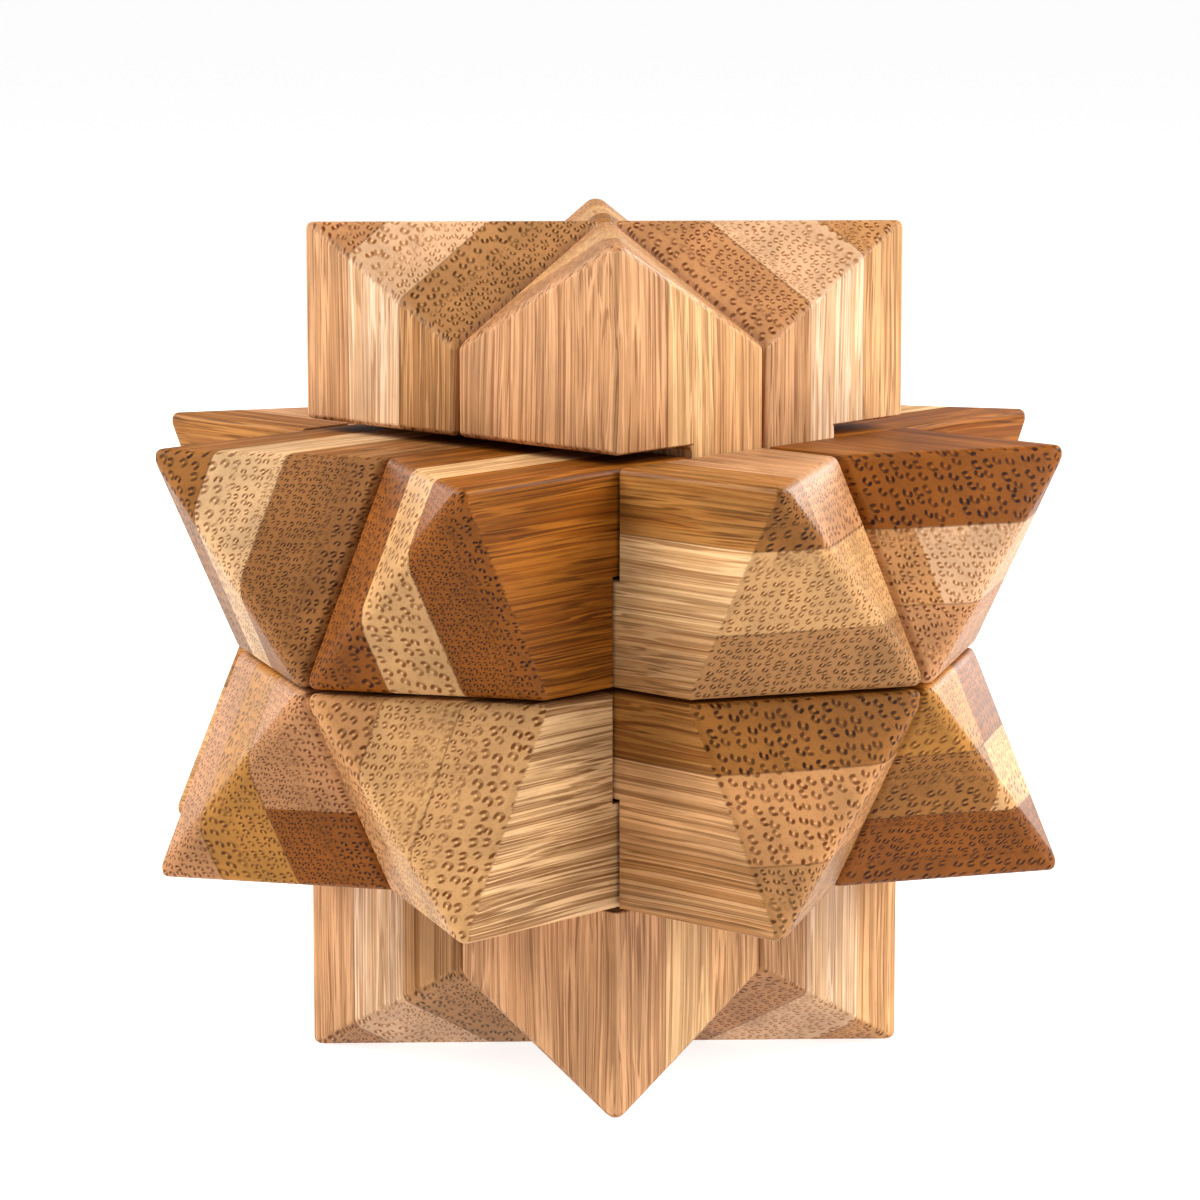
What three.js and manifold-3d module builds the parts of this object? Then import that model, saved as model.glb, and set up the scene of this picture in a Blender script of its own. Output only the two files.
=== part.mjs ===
// Interlocking bamboo stick puzzle: three square bundles of sticks cross at right angles.
// Millimetres, +Z up, origin at the middle of the surface that it stands on.
// Four upright sticks run along Z and four bridge sticks along Y. The four cross sticks
// along X are divided in the middle, so that the puzzle can be built up and drawn apart.
import * as THREE from 'three';
import { mergeVertices } from 'three/addons/utils/BufferGeometryUtils.js';
import Module from 'manifold-3d';

const wasm = await Module();
wasm.setup();

// Driving dimensions
const STICK = 16; // side of a stick's square section
const REACH = 1.94 * STICK; // from the puzzle's centre to the ridge of a level stick
const UPRIGHT_REACH = 1.96 * STICK; // and to the ridge of an upright one
const ROOF_DROP = 0.52 * STICK; // from the ridge down to the low corners of a roof end
const RIDGE_FLAT = 0.9; // width of the flat sanded on each ridge
const CLEARANCE = 0.15; // wood taken off each mating face
const WAIST_SLACK = 0.5; // how much longer the uprights' waists are than the core is high

const HALF = STICK / 2;
const LONG = 4 * STICK; // longer than any stick, for tools that cut right through
const [X, Y, Z] = [0, 1, 2];

const BAMBOO = {
  pale: 0xe6c48c,
  caramel: 0xb27a45,
  brown: 0x8f5c33,
};

// --- Solids -----------------------------------------------------------------

function toSolid(geometry) {
  const bare = geometry.clone();
  bare.deleteAttribute('normal');
  bare.deleteAttribute('uv');
  const merged = mergeVertices(bare, 1e-5);
  return new wasm.Manifold(new wasm.Mesh({
    numProp: 3,
    vertProperties: new Float32Array(merged.attributes.position.array),
    triVerts: new Uint32Array(merged.index.array),
  }));
}

function toGeometry(solid) {
  const mesh = solid.getMesh();
  const geometry = new THREE.BufferGeometry();
  geometry.setAttribute('position', new THREE.BufferAttribute(mesh.vertProperties, 3));
  geometry.setIndex(new THREE.BufferAttribute(mesh.triVerts, 1));
  geometry.computeVertexNormals();
  return geometry;
}

// A box between two opposite corners, whichever order their coordinates come in.
function block(from, to) {
  const size = from.map((value, i) => Math.abs(to[i] - value));
  const middle = from.map((value, i) => (value + to[i]) / 2);
  return toSolid(new THREE.BoxGeometry(...size).translate(...middle));
}

// A box that is cut away: it is larger than its stated space by the clearance.
function notch(ranges, signs) {
  const from = ranges.map(([low], i) => signs[i] * (low - CLEARANCE));
  const to = ranges.map(([, high], i) => signs[i] * (high + CLEARANCE));
  return block(from, to);
}

// A bar whose two ends are roofs, standing along Y with its ridges along Z.
function roofBar(reach) {
  const eave = STICK / Math.SQRT2;
  const low = reach - ROOF_DROP;
  const flat = RIDGE_FLAT / 2;
  const outline = new THREE.Shape();
  outline.moveTo(-eave, -low);
  outline.lineTo(-flat, -reach);
  outline.lineTo(flat, -reach);
  outline.lineTo(eave, -low);
  outline.lineTo(eave, low);
  outline.lineTo(flat, reach);
  outline.lineTo(-flat, reach);
  outline.lineTo(-eave, low);
  outline.closePath();
  const bar = new THREE.ExtrudeGeometry(outline, { depth: LONG, bevelEnabled: false });
  return bar.translate(0, 0, -LONG / 2);
}

// A whole stick along one axis, in the quadrant given by the signs of the other two.
// Its ridges run from the puzzle's centre line to the outer corner of its section.
function stickBlank(axis, signs, reach = REACH) {
  const from = signs.map((sign) => sign * CLEARANCE);
  const to = signs.map((sign) => sign * (STICK - CLEARANCE));
  from[axis] = -LONG / 2;
  to[axis] = LONG / 2;
  const along = new THREE.Vector3().setComponent(axis, 1);
  const ridge = new THREE.Vector3(...signs).setComponent(axis, 0).normalize();
  const across = along.clone().cross(ridge);
  const bar = roofBar(reach).applyMatrix4(new THREE.Matrix4().makeBasis(across, along, ridge));
  return block(from, to).intersect(toSolid(bar));
}

function cut(solid, notches, signs) {
  return notches.reduce((left, ranges) => left.subtract(notch(ranges, signs)), solid);
}

// --- The three kinds of stick, each with the notches that let the others pass ---

const FULL = [0, STICK];
const INNER = [0, HALF];
const OUTER = [HALF, STICK];
const OUTER_FAR = [-STICK, -HALF];
const MIDDLE = [-HALF, HALF];

// Along X: half a stick, whose square neck lies low down and on the outside of the core.
function crossHalf(xSide, ySide, zSide) {
  const signs = [xSide, ySide, zSide];
  const notches = [
    [[-LONG, 0], FULL, FULL],
    [FULL, FULL, OUTER],
    [FULL, INNER, FULL],
  ];
  return cut(stickBlank(X, signs), notches, signs);
}

// Along Y: bridged over each cross stick, and narrowed in the middle for the uprights.
function bridgeStick(xSide, zSide) {
  const signs = [xSide, 1, zSide];
  const notches = [
    [FULL, OUTER, INNER],
    [FULL, OUTER_FAR, INNER],
    [OUTER, MIDDLE, FULL],
  ];
  return cut(stickBlank(Y, signs), notches, signs);
}

// Along Z: a whole stick with a square waist beside the bridge sticks. The core rests on
// its lower shoulders, and the slack shows as a gap under its upper ones.
function uprightStick(xSide, ySide) {
  const signs = [xSide, ySide, 1];
  const core = [-STICK, STICK + WAIST_SLACK];
  const notches = [
    [FULL, OUTER, core],
    [INNER, FULL, core],
  ];
  return cut(stickBlank(Z, signs, UPRIGHT_REACH), notches, signs);
}

// --- The assembly -----------------------------------------------------------

const puzzle = new THREE.Group();
puzzle.position.z = UPRIGHT_REACH;

function addPiece(name, solid, colour) {
  const material = new THREE.MeshStandardMaterial({ color: colour, roughness: 0.6, metalness: 0 });
  const mesh = new THREE.Mesh(toGeometry(solid), material);
  mesh.name = name;
  puzzle.add(mesh);
}

const LEVELS = [['upper', 1], ['lower', -1]];
const DEPTHS = [['front', -1], ['rear', 1]];
const SIDES = [['left', -1], ['right', 1]];

for (const [side, xSide] of SIDES) {
  for (const [depth, ySide] of DEPTHS) {
    addPiece(`upright_${depth}_${side}`, uprightStick(xSide, ySide), BAMBOO.pale);
  }
  for (const [level, zSide] of LEVELS) {
    addPiece(`bridge_${level}_${side}`, bridgeStick(xSide, zSide), BAMBOO.brown);
    for (const [depth, ySide] of DEPTHS) {
      const name = `cross_half_${level}_${depth}_${side}`;
      addPiece(name, crossHalf(xSide, ySide, zSide), BAMBOO.caramel);
    }
  }
}

export default puzzle;
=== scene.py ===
"""Looks of the bamboo burr puzzle: tumbled sticks of laminated bamboo, on a pale studio floor."""

import math

import bmesh
import bpy
from mathutils import Matrix, Vector


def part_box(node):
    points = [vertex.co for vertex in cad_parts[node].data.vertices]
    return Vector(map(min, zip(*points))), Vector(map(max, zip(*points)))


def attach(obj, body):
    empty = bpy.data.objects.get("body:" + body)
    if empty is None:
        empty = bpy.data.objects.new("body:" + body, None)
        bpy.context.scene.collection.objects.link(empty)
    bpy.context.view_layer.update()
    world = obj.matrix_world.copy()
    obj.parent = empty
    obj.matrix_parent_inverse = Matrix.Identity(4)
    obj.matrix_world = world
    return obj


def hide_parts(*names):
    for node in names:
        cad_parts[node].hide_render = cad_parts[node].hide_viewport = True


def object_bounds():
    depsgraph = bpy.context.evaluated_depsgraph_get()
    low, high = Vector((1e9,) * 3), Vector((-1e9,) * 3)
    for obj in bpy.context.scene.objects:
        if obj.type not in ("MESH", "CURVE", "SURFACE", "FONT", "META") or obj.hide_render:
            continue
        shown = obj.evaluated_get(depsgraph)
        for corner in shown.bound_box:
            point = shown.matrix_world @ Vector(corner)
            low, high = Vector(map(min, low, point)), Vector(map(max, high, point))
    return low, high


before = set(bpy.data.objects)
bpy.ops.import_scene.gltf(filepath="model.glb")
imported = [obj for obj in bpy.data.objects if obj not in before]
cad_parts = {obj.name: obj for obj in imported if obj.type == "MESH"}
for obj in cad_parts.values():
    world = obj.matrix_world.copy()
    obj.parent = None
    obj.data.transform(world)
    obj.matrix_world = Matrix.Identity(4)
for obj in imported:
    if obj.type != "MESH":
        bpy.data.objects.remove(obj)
CAD_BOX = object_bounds()
LOW, HIGH = (Vector(corner) for corner in CAD_BOX)
CENTRE = (LOW + HIGH) / 2
WIDTH = HIGH.x - LOW.x

MM = 0.001
STICK = 16 * MM  # a stick's square section
X, Y, Z = Vector((1, 0, 0)), Vector((0, 1, 0)), Vector((0, 0, 1))

# --- Bamboo: tones and plies --------------------------------------------------

# Wood colours as sRGB shades: the ply's wood, its fibre bundles, and its veins along the grain, which
# for honey also carry painted shade.
TONES = {
    "cream": ("#dab695", "#96602c", "#cfa473"),
    "fawn": ("#dab88e", "#804f26", "#c99a62"),
    "pale": ("#d2a876", "#7c4a1c", "#ca9a68"),
    # honey's vein is far darker than its wood: painted shade for the sides of bridge_lower_right's +X
    # ply, in the corner by the cross
    "honey": ("#cfa473", "#6f4018", "#6f4015"),
    "tan": ("#c69463", "#683813", "#bb8a5a"),
    "rose": ("#bf8e63", "#663419", "#bb8b60"),
    "amber": ("#b8843f", "#643710", "#a8641f"),
    "olive": ("#b18457", "#52300f", "#a06a38"),
    "caramel": ("#a4713a", "#44220a", "#8f5118"),
    "brown": ("#9c6c3f", "#3c1d09", "#7e4413"),
    "umber": ("#9a6731", "#2f1404", "#8a4f1c"),
    "dark": ("#905418", "#270e03", "#743a0a"),
}

# Each stick: grain axis, direction in which its plies are stacked, the plies in that order, and
# where two strips of one ply meet, as a share of the stick's width past its middle, if any do.
# A ply is (share of the stick's width, tone, bundle size at its start, bundle size at its end),
# with bundle sizes from 0, small and crowded by the skin of the cane, to 1, large and spaced.
# A fifth value is the tone of a second strip, glued edge to edge with the first. The two
# halves of a cross stick share one row.
STICKS = {
    "upright_front_left": (Z, X, [
        (0.305, "rose", 0.9, 0.6), (0.335, "cream", 0.8, 0.6), (0.36, "olive", 0.9, 0.4)], 0),
    "upright_front_right": (Z, Y, [
        (0.34, "rose", 0.4, 0.8), (0.31, "pale", 0.7, 0.5), (0.35, "tan", 0.4, 0.7)], 0),
    "upright_rear_right": (Z, -Y, [
        (0.31, "tan", 0.7, 0.3), (0.37, "cream", 0.8, 0.3), (0.32, "rose", 0.4, 0.9)], 0),
    "upright_rear_left": (Z, X, [
        (0.34, "tan", 0.7, 0.3), (0.33, "pale", 0.5, 0.9), (0.33, "caramel", 0.3, 0.9)], 0),
    "bridge_upper_left": (Y, X, [
        (0.285, "umber", 1, 0.8), (0.305, "fawn", 0.9, 0.3), (0.41, "brown", 0.1, 0.5)], 0),
    "bridge_upper_right": (Y, X, [
        (0.36, "dark", 0.5, 0.8), (0.30, "pale", 0.9, 0.7), (0.34, "dark", 0.1, 0.5)], 0),
    "bridge_lower_right": (Y, X, [
        # the +X ply's dark honey veins paint shade onto its sides, which lie in the corner by the cross
        (0.34, "tan", 0.9, 0.8), (0.32, "pale", 0.6, 0.7), (0.34, "honey", 0.6, 0.9)], 0),
    "bridge_lower_left": (Y, X, [
        (0.30, "rose", 0.4, 0.7), (0.325, "amber", 0.9, 0.4),
        (0.375, "rose", 0.2, 0.5, "dark")], 0.1),
    "cross_half_upper_front": (X, -Z, [
        (0.30, "umber", 0.3, 0.9, "rose"), (0.385, "pale", 0.7, 0.5), (0.315, "olive", 0.5, 0.6)], -0.2),
    "cross_half_upper_rear": (X, -Z, [
        (0.33, "dark", 1, 1), (0.325, "tan", 0.7, 0.5, "cream"), (0.345, "rose", 0.5, 0.8)], -0.3),
    "cross_half_lower_front": (X, -Z, [
        (0.30, "umber", 1, 0.9), (0.38, "tan", 1, 0.9), (0.32, "olive", 0.5, 0.9)], 0),
    "cross_half_lower_rear": (X, -Z, [
        (0.34, "amber", 0.5, 0.8, "dark"), (0.31, "caramel", 0.6, 0.8, "pale"),
        (0.35, "dark", 0.3, 0.9)], 0.03),
}


def linear(shade):
    """A colour for a shader socket, from an sRGB shade such as #c89a62."""
    channels = [int(shade[i:i + 2], 16) / 255 for i in (1, 3, 5)]
    return [c / 12.92 if c <= 0.04045 else ((c + 0.055) / 1.055) ** 2.4 for c in channels] + [1.0]


class Graph:
    """Short names for adding and wiring a material's nodes."""

    def __init__(self, tree):
        self.tree = tree

    def node(self, kind, inputs=None, **settings):
        made = self.tree.nodes.new(kind)
        for name, value in settings.items():
            setattr(made, name, value)
        for name, value in (inputs or {}).items():
            self.wire(value, made.inputs[name])
        return made

    def wire(self, value, socket):
        if isinstance(value, bpy.types.NodeSocket):
            self.tree.links.new(value, socket)
        else:
            socket.default_value = value

    def math(self, operation, *values, clamp=False):
        made = self.node("ShaderNodeMath", dict(enumerate(values)), operation=operation, use_clamp=clamp)
        return made.outputs[0]

    def smooth(self, value, low, high):
        """0 below low, 1 above high, and a smooth step between them. low may be the larger."""
        made = self.node("ShaderNodeMapRange", {"Value": value, "From Min": low, "From Max": high},
                         interpolation_type="SMOOTHSTEP")
        return made.outputs["Result"]

    def remap(self, value, low, high):
        """value from 0 to 1 becomes low to high."""
        made = self.node("ShaderNodeMapRange", {"Value": value, "To Min": low, "To Max": high})
        return made.outputs["Result"]

    def mix(self, share, first, second):
        made = self.node("ShaderNodeMix", data_type="RGBA")
        self.wire(share, made.inputs[0])
        self.wire(first, made.inputs[6])
        self.wire(second, made.inputs[7])
        return made.outputs[2]

    def noise(self, vector, scale, detail=2.0, roughness=0.5):
        made = self.node("ShaderNodeTexNoise", {
            "Vector": vector, "Scale": scale, "Detail": detail, "Roughness": roughness})
        return made.outputs["Fac"]

    def stretched(self, vector, scale, offset):
        made = self.node("ShaderNodeMapping", {"Vector": vector, "Scale": scale, "Location": offset})
        return made.outputs[0]

    def ramp(self, value, stops):
        """A colour ramp through stops, each a place from 0 to 1 and its colour."""
        made = self.node("ShaderNodeValToRGB", {"Fac": value})
        elements = made.color_ramp.elements
        elements.remove(elements[1])
        for index, (place, colour) in enumerate(stops):
            element = elements[0] if index == 0 else elements.new(place)
            element.position = place
            element.color = colour
        return made.outputs["Color"]


# --- Bamboo: material ---------------------------------------------------------

WANDER = 1.3 * MM  # how far the grain strays sideways along a stick
WANDER_SCALE = 120.0  # per metre
PLY_WOBBLE = 0.02  # how far the edges of the plies stray, as a share of the stick's width
SEED_SHIFT = (3.7 * MM, 5.3 * MM, 17.0 * MM)  # how far apart the sticks lie in the patterns
SHARP = 0.003  # half the softness of a ply's edge, as a share of the stick's width
GLUE = 0.006  # half the width of a glue line, likewise
GLUE_SHADE = "#4a2a12"

BUNDLE_PITCHES = (0.42 * MM, 0.60 * MM, 0.88 * MM)  # spacing of small, middling and large bundles
SMALL_TO_MIDDLING = (0.30, 0.42)  # the bundle sizes at which one spacing gives way to the next
MIDDLING_TO_LARGE = (0.62, 0.74)
SCATTER = 0.45  # how far bundles stray from a regular lattice
RING = 0.25  # radius of the dark sheath round each bundle, in pitches
SHEATH = (0.17, 0.09)  # half its width, where it fades out and where it is full

END_SHADE = (0.85, 0.78, 0.70)  # end grain takes up more oil, and is darker than the sides
PALE_PARTS = (1.5, 1.6, 1.8)  # how much lighter bundles' cores and pale hairs are than the wood

# Patterns along the grain: scale across it per metre, stretch along it, detail and roughness.
PORES = (5200.0, 0.2, 2.0, 0.6)
FINE_LINES = (8000.0, 0.004, 2.0, 0.6)
THREADS = (2800.0, 0.008, 1.0, 0.5)
VEINS = (1000.0, 0.02, 2.0, 0.5)
HAIRS = (2000.0, 0.012, 1.0, 0.5)
LINE_WIDTH = (0.06, 0.02)  # how far from its middle a thread or hair fades out, and where it is full


def grey(value):
    return (value, value, value, 1.0)


def scale_colour(graph, colour, factors):
    made = graph.node("ShaderNodeVectorMath", {0: colour, 1: factors}, operation="MULTIPLY")
    return made.outputs[0]


def ply_stops(plies, first, last):
    """Ramp stops that run from first to last across each ply, and change sharply between plies."""
    stops = []
    edge = 0.0
    for index, (share, *_) in enumerate(plies):
        stops.append((edge + (SHARP if index else 0), first[index]))
        edge += share
        stops.append((edge - (SHARP if index < len(plies) - 1 else 0), last[index]))
    return stops


def glue_stops(plies):
    """Ramp stops that are 1 on the glue lines between the plies."""
    stops = [(0.0, grey(0))]
    edge = 0.0
    for share, *_ in plies[:-1]:
        edge += share
        stops += [(edge - GLUE, grey(0)), (edge, grey(1)), (edge + GLUE, grey(0))]
    return stops


def tone_ramp(graph, share, plies, beside, part):
    """One of the tones' colours, ply by ply, and past the strips' joint that of the second strip."""
    first = [linear(TONES[ply[1]][part]) for ply in plies]
    near = graph.ramp(share, ply_stops(plies, first, first))
    if not any(len(ply) > 4 for ply in plies):
        return near
    second = [linear(TONES[ply[4] if len(ply) > 4 else ply[1]][part]) for ply in plies]
    far = graph.ramp(share, ply_stops(plies, second, second))
    return graph.mix(beside, near, far)


def bundles(graph, section, pitch):
    """Fibre bundles across the grain: 1 on the dark sheaths, and 1 on the pale core of each."""
    cells = graph.node("ShaderNodeTexVoronoi", {
        "Vector": section, "Scale": 1 / pitch, "Randomness": SCATTER}, voronoi_dimensions="2D")
    away = graph.node("ShaderNodeVectorMath", {
        0: section, 1: cells.outputs["Position"]}, operation="SUBTRACT")
    parts = graph.node("ShaderNodeSeparateXYZ", {0: away.outputs[0]})
    angle = graph.math("ARCTAN2", parts.outputs[1], parts.outputs[0])
    tint = graph.node("ShaderNodeSeparateColor", {0: cells.outputs["Color"]})
    turned = graph.math("ADD", angle, graph.remap(tint.outputs[2], 0.2, 1.4))
    # A sheath is a horseshoe with a thick cap on each side.
    open_side = graph.smooth(graph.math("COSINE", turned), -1.0, -0.5)
    two_sided = graph.math("COSINE", graph.math("MULTIPLY", turned, 2))
    caps = graph.remap(graph.smooth(two_sided, 0.8, -0.3), 0.45, 1)
    radius = graph.remap(tint.outputs[0], RING * 0.8, RING * 1.15)
    distance = cells.outputs["Distance"]
    off_ring = graph.math("ABSOLUTE", graph.math("SUBTRACT", distance, radius))
    horseshoe = graph.math("MULTIPLY", open_side, caps)
    ring = graph.math("MULTIPLY", graph.smooth(off_ring, *SHEATH), horseshoe)
    dark = graph.math("MULTIPLY", ring, graph.remap(tint.outputs[1], 0.7, 1.0))
    core = graph.smooth(distance, RING * 0.6, RING * 0.1)
    return dark, core


def end_grain(g, section, size, pores, wood, fibre, pale):
    """The colour across the grain, with bundles that grow across each ply, and their dark parts."""
    small, middling, large = [bundles(g, section, pitch) for pitch in BUNDLE_PITCHES]
    over_small = g.smooth(size, *SMALL_TO_MIDDLING)
    over_middling = g.smooth(size, *MIDDLING_TO_LARGE)
    dots, cores = [g.mix(over_middling, g.mix(over_small, low, mid), high)
                   for low, mid, high in zip(small, middling, large)]
    end = g.mix(dots, wood, fibre)
    end = g.mix(g.math("MULTIPLY", cores, 0.6), end, pale)
    end = g.mix(g.math("MULTIPLY", g.smooth(pores, 0.5, 0.72), 0.22), end, fibre)
    return scale_colour(g, end, END_SHADE), dots


def thin_line(g, pattern, middle):
    """1 along the lines where a pattern passes through a value."""
    off = g.math("ABSOLUTE", g.math("SUBTRACT", pattern, middle))
    return g.smooth(off, *LINE_WIDTH)


def long_grain(g, along, dots, pores, wood, fibre, vein_and_painted_shade, pale):
    """The colour along the grain, where the bundles show as lines, and the ribs they leave; the honey
    tone's veins add painted shade.
    """
    fine, veins = along(FINE_LINES), along(VEINS)
    hair = thin_line(g, along(HAIRS), 0.5)
    thread = thin_line(g, along(THREADS), 0.46)
    # Veins along the grain; the honey tone's dark vein colour is painted shade.
    side = g.mix(g.math("MULTIPLY", g.smooth(veins, 0.44, 0.58), 0.55), wood, vein_and_painted_shade)
    side = g.mix(g.math("MULTIPLY", g.smooth(fine, 0.49, 0.54), 0.50), side, vein_and_painted_shade)
    side = g.mix(g.math("MULTIPLY", thread, 0.50), side, fibre)
    side = g.mix(g.math("MULTIPLY", dots, 0.25), side, fibre)
    side = g.mix(g.math("MULTIPLY", hair, 0.60), side, pale)
    side = g.mix(g.math("MULTIPLY", g.smooth(pores, 0.52, 0.7), 0.10), side, fibre)
    ribs = g.math("MULTIPLY", g.math("ADD", fine, g.math("MULTIPLY", veins, 0.5)), 0.8)
    return side, ribs


def bamboo(name, plies, joint, seed):
    """Laminated bamboo in the piece's own axes: X across the plies, Z along the grain."""
    material = bpy.data.materials.new(name)
    material.use_nodes = True
    material.node_tree.nodes.clear()
    g = Graph(material.node_tree)
    place = g.node("ShaderNodeTexCoord")
    here = place.outputs["Object"]
    shift = [seed * part for part in SEED_SHIFT]

    # The grain wanders a little along the stick, which bends streaks and ply edges with it.
    slow = g.stretched(here, (1, 1, 0.4), shift)
    wander = g.node("ShaderNodeTexNoise", {"Vector": slow, "Scale": WANDER_SCALE, "Detail": 1.0})
    stray = g.node("ShaderNodeVectorMath", {
        0: wander.outputs["Color"], 1: (0.5, 0.5, 0.5)}, operation="SUBTRACT")
    bent = g.node("ShaderNodeVectorMath", {
        0: stray.outputs[0], 1: (WANDER, WANDER, 0), 2: here}, operation="MULTIPLY_ADD").outputs[0]

    def along(pattern):
        scale, stretch, detail, roughness = pattern
        return g.noise(g.stretched(bent, (1, 1, stretch), shift), scale, detail, roughness)

    # Which ply: a share of the stick's width, measured from the first ply's outer face.
    parts = g.node("ShaderNodeSeparateXYZ", {0: here})
    wobble = g.math("MULTIPLY", g.math("SUBTRACT", wander.outputs["Fac"], 0.5), PLY_WOBBLE)
    share = g.math("ADD", g.math("ADD", g.math("DIVIDE", parts.outputs[0], STICK), 0.5), wobble)
    outward = g.math("ADD", g.math("DIVIDE", parts.outputs[1], STICK), wobble)
    beside = g.smooth(outward, joint - SHARP, joint + SHARP)
    # the vein colours include painted shade for the honey ply's sides
    wood, fibre, vein_and_painted_shade = [tone_ramp(g, share, plies, beside, part) for part in range(3)]
    pale = scale_colour(g, wood, PALE_PARTS)
    sizes = [[grey(ply[part]) for ply in plies] for part in (2, 3)]
    size = g.ramp(share, ply_stops(plies, *sizes))
    glue = g.ramp(share, glue_stops(plies))

    pores = along(PORES)
    section = g.stretched(bent, (1, 1, 0), shift)
    end, dots = end_grain(g, section, size, pores, wood, fibre, pale)
    side, ribs = long_grain(g, along, dots, pores, wood, fibre, vein_and_painted_shade, pale)
    facing = g.node("ShaderNodeSeparateXYZ", {0: place.outputs["Normal"]})
    is_end = g.smooth(g.math("ABSOLUTE", facing.outputs[2]), 0.22, 0.52)
    mottle = g.noise(slow, 260.0, 3.0, 0.6)
    shade = g.remap(g.smooth(mottle, 0.3, 0.7), 0.84, 1.14)
    colour = scale_colour(g, g.mix(is_end, side, end), shade)
    colour = g.mix(g.math("MULTIPLY", glue, 0.6), colour, linear(GLUE_SHADE))

    # Relief: bundles stand as pits on the ends, and the fine lines as ribs on the sides.
    height = g.mix(is_end, ribs, g.math("MULTIPLY", dots, -0.15))
    height = g.math("SUBTRACT", height, g.math("MULTIPLY", glue, 0.5))
    bump = g.node("ShaderNodeBump", {"Height": height, "Strength": 0.4, "Distance": 0.03 * MM})
    rough = g.remap(g.noise(here, 420.0, 2.0), 0.36, 0.50)
    surface = g.node("ShaderNodeBsdfPrincipled", {
        "Base Color": colour, "Roughness": rough, "Normal": bump.outputs[0],
        "Specular IOR Level": 0.12})
    g.node("ShaderNodeOutputMaterial", {"Surface": surface.outputs[0]})
    return material


# --- Pieces -------------------------------------------------------------------

EDGE_ROUND = 0.65 * MM  # how far the tumbling has worn the edges back
EDGE_STEPS = 4
NOTCH_SHARE = 0.15  # the rounding of the notches' edges, as a share of that
RIDGE_SHARE = 0.6  # and of the blunt edges along the ridges
NOTCH_REACH = STICK + 0.5 * MM  # edges nearer the puzzle's centre than this lie in its notches
FLAT_TURN = 3  # an edge that turns by no more degrees than this lies in a flat face
BLUNT_TURN = 45


def own_axes(node, grain, stack):
    """Axes with Z along the grain and X across the plies, at the middle of the stick's section."""
    low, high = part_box(node)
    middle = (low + high) / 2
    middle = middle - grain * (middle - CENTRE).dot(grain)
    axes = Matrix((stack, grain.cross(stack), grain)).transposed().to_4x4()
    return Matrix.Translation(middle) @ axes


def weigh_edges(form):
    """Marks how far each edge is worn back: the notches' edges hardly, and flat ones not at all."""
    weights = form.edges.layers.float.new("bevel_weight_edge")
    for edge in form.edges:
        middle = (edge.verts[0].co + edge.verts[1].co) / 2 - CENTRE
        in_notch = max(abs(part) for part in middle) < NOTCH_REACH
        turn = math.degrees(edge.calc_face_angle(0))
        if turn > FLAT_TURN:
            edge[weights] = NOTCH_SHARE if in_notch else RIDGE_SHARE if turn < BLUNT_TURN else 1


def worn_stick(node, name, axes):
    """A copy of the CAD stick with its edges tumbled round, whose own axes are the given ones."""
    form = bmesh.new()
    form.from_mesh(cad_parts[node].data)
    bmesh.ops.remove_doubles(form, verts=form.verts, dist=0.001 * MM)
    bmesh.ops.dissolve_limit(form, angle_limit=math.radians(1), verts=form.verts, edges=form.edges)
    # The bevel needs faces without hollows, or it fills in the notches.
    bmesh.ops.connect_verts_concave(form, faces=form.faces)
    weigh_edges(form)
    for face in form.faces:
        face.smooth = True
    data = bpy.data.meshes.new(name)
    form.to_mesh(data)
    form.free()
    piece = bpy.data.objects.new(name, data)
    bpy.context.scene.collection.objects.link(piece)
    bevel = piece.modifiers.new("worn_edges", "BEVEL")
    bevel.width = EDGE_ROUND
    bevel.segments = EDGE_STEPS
    bevel.limit_method = "WEIGHT"
    bevel.harden_normals = True
    evaluated = piece.evaluated_get(bpy.context.evaluated_depsgraph_get())
    rounded = bpy.data.meshes.new_from_object(evaluated)
    piece.modifiers.clear()
    piece.data = rounded
    rounded.transform(axes.inverted())
    piece.matrix_world = axes
    return piece


def make_stick(node, grain, stack, plies, joint, seed):
    piece = worn_stick(node, f"bamboo_{node}", own_axes(node, grain, stack))
    piece.data.materials.append(bamboo(f"bamboo_{node}", plies, joint, seed))
    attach(piece, node)
    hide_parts(node)


# The two halves of a cross stick are the same stick, so they share its plies and its grain.
for number, (stick_name, stick) in enumerate(STICKS.items(), start=1):
    for stick_node in [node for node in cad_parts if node.startswith(stick_name)]:
        make_stick(stick_node, *stick, number)

# --- Studio -------------------------------------------------------------------

CAMERA_AZIMUTH = math.radians(43)
CAMERA_ELEVATION = math.radians(9.8)
CAMERA_DISTANCE = 5.62 * WIDTH
LENS = 138.7  # millimetres
AIM_ABOVE = 0.045 * WIDTH  # where the camera looks, from the object's centre
AIM_ASIDE = -0.006 * WIDTH

FLOOR_REACH = 300 * WIDTH
FLOOR_GREY = 0.4
FLOOR_GLOW = 0.84  # keeps the paper near white all the way back
WORLD_LIGHT = 0.30
LIGHT_TINT = (1, 0.96, 0.9)

# Softboxes: azimuth and elevation in degrees, distance, width and height in metres, power.
SOFTBOXES = {
    "right": (130, 34, 0.50, (0.35, 0.35), 3.6),
    "left": (-44, 40, 0.50, (0.35, 0.35), 3.5),
    "rim_right": (185, 15, 0.60, (0.30, 0.28), 2.2),
    "rim_left": (262, 15, 0.60, (0.30, 0.28), 0.8),
}


def aim(thing, target):
    thing.rotation_euler = (target - thing.location).to_track_quat("-Z", "Y").to_euler()


def towards(azimuth, elevation):
    """The direction from the object to a viewer at that azimuth, 0 being in front."""
    level = math.cos(elevation)
    return Vector((math.sin(azimuth) * level, -math.cos(azimuth) * level, math.sin(elevation)))


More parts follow.
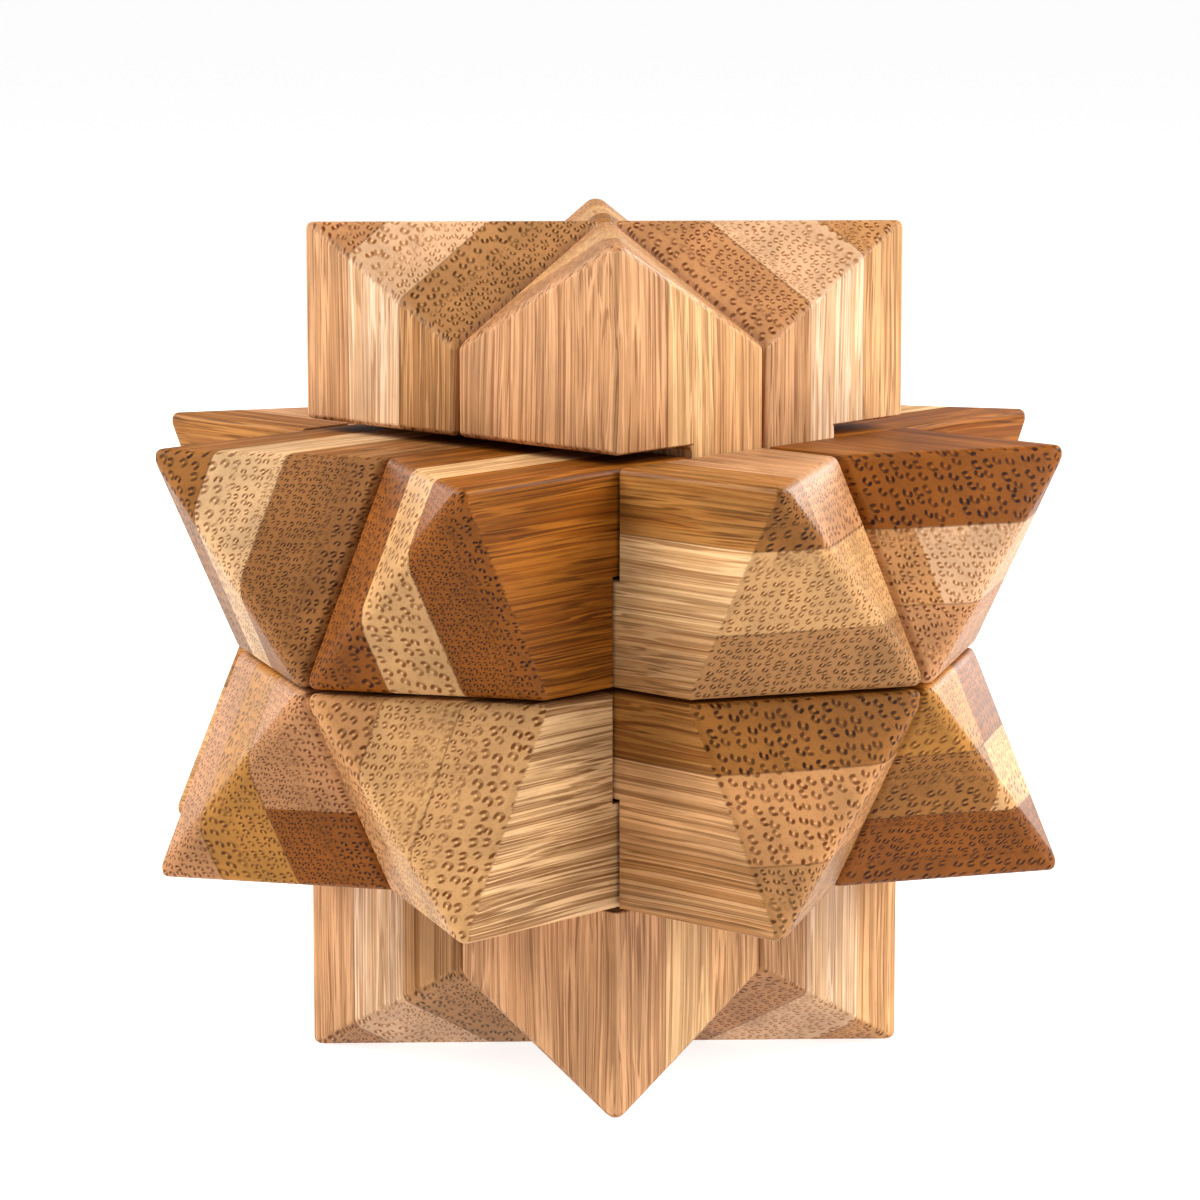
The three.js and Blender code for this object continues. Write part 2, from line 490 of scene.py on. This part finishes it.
def add_camera():
    data = bpy.data.cameras.new("camera")
    data.lens = LENS
    data.clip_start = 0.01
    camera = bpy.data.objects.new("camera", data)
    bpy.context.scene.collection.objects.link(camera)
    out = towards(CAMERA_AZIMUTH, CAMERA_ELEVATION)
    right = Z.cross(out).normalized()
    camera.location = CENTRE + out * CAMERA_DISTANCE
    aim(camera, CENTRE + Z * AIM_ABOVE + right * AIM_ASIDE)
    bpy.context.scene.camera = camera


def add_softbox(name, azimuth, elevation, distance, size, power):
    """A softbox that faces the object."""
    data = bpy.data.lights.new(name, "AREA")
    data.shape = "RECTANGLE"
    data.size, data.size_y = size
    data.energy = power
    data.color = LIGHT_TINT
    light = bpy.data.objects.new(name, data)
    bpy.context.scene.collection.objects.link(light)
    light.location = CENTRE + towards(math.radians(azimuth), math.radians(elevation)) * distance
    light.visible_camera = False
    aim(light, CENTRE)


def add_floor():
    form = bmesh.new()
    corners = [(-1, -1), (1, -1), (1, 1), (-1, 1)]
    form.faces.new([form.verts.new((x * FLOOR_REACH, y * FLOOR_REACH, LOW.z)) for x, y in corners])
    data = bpy.data.meshes.new("floor")
    form.to_mesh(data)
    form.free()
    floor = bpy.data.objects.new("floor", data)
    bpy.context.scene.collection.objects.link(floor)
    material = bpy.data.materials.new("floor_paper")
    material.use_nodes = True
    surface = material.node_tree.nodes["Principled BSDF"]
    surface.inputs["Base Color"].default_value = grey(FLOOR_GREY)
    surface.inputs["Roughness"].default_value = 0.8
    surface.inputs["Emission Color"].default_value = (1, 1, 1, 1)
    surface.inputs["Emission Strength"].default_value = FLOOR_GLOW
    data.materials.append(material)


def add_world():
    world = bpy.data.worlds.new("studio")
    world.use_nodes = True
    background = world.node_tree.nodes["Background"]
    background.inputs["Color"].default_value = (1, 1, 1, 1)
    background.inputs["Strength"].default_value = WORLD_LIGHT
    bpy.context.scene.world = world


add_camera()
add_world()
add_floor()
for light_name, softbox in SOFTBOXES.items():
    add_softbox(light_name, *softbox)
bpy.context.scene.view_settings.view_transform = "Standard"
